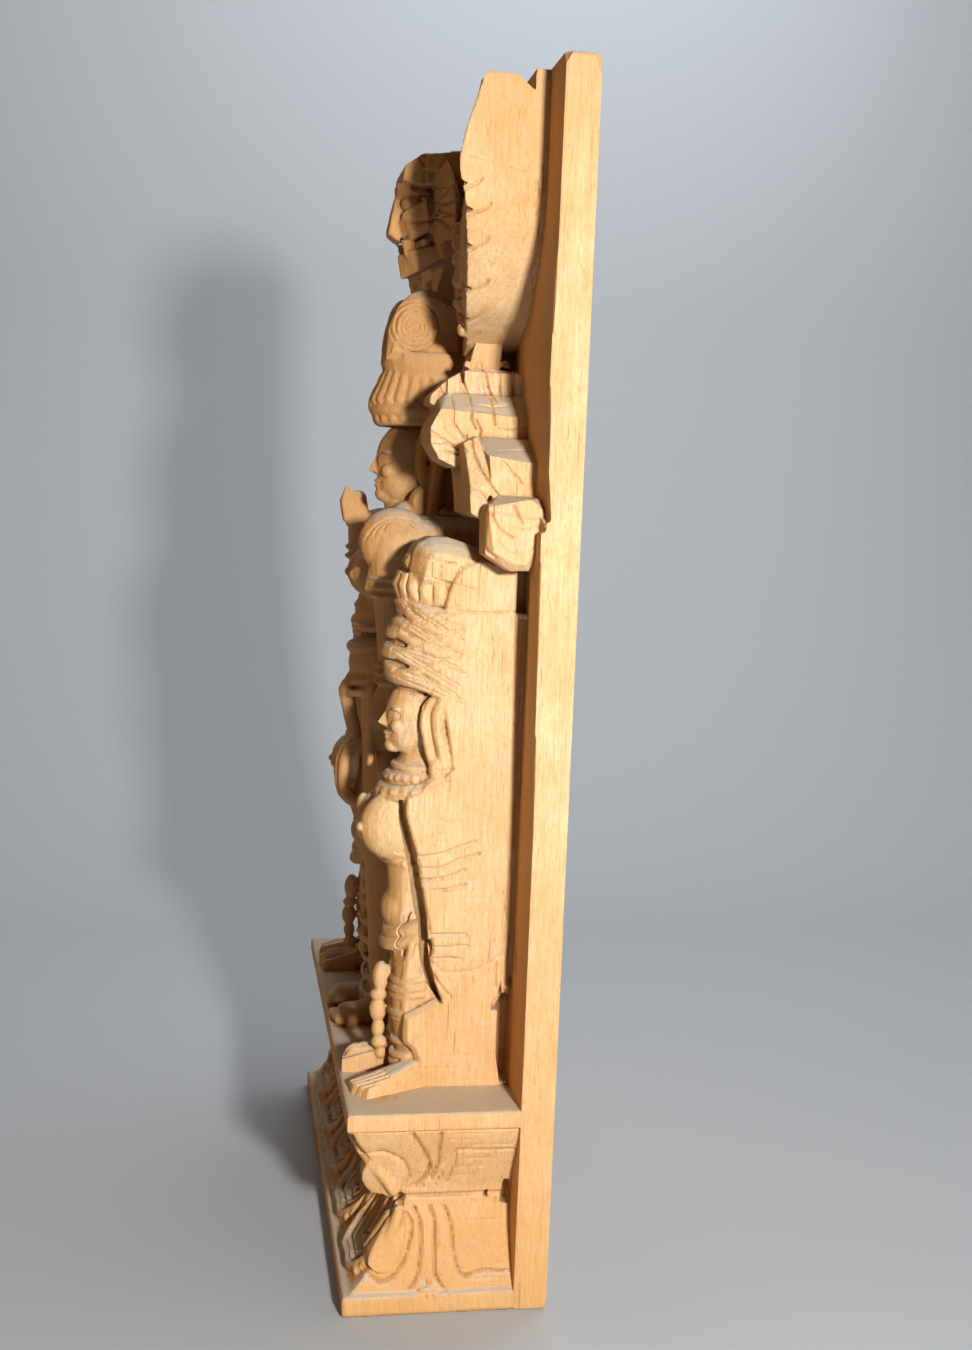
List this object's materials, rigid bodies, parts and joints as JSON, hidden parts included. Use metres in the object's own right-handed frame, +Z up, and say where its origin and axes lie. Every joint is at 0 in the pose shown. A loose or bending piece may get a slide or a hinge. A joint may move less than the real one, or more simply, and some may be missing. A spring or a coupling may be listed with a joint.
{
  "type": "carved wood relief panel",
  "caption": "Deep-carved wooden relief panel with a standing goddess, smaller attendants and a lion-mask arch, on a lotus plinth with a flat back and underside.",
  "frame": {"origin": "centre of the panel's overall box at its underside, on the surface it stands on", "axes": "+Z up along the panel's height; -Y is the carved front and +Y the flat back; X runs across the panel"},
  "size_m": [0.231, 0.078, 0.46],
  "materials": {
    "carved_wood": "unvarnished, chisel-cut, aged and dusty"
  },
  "bodies": {
    "root": {"carved_panel": "carved_wood"}
  },
  "joints": []
}
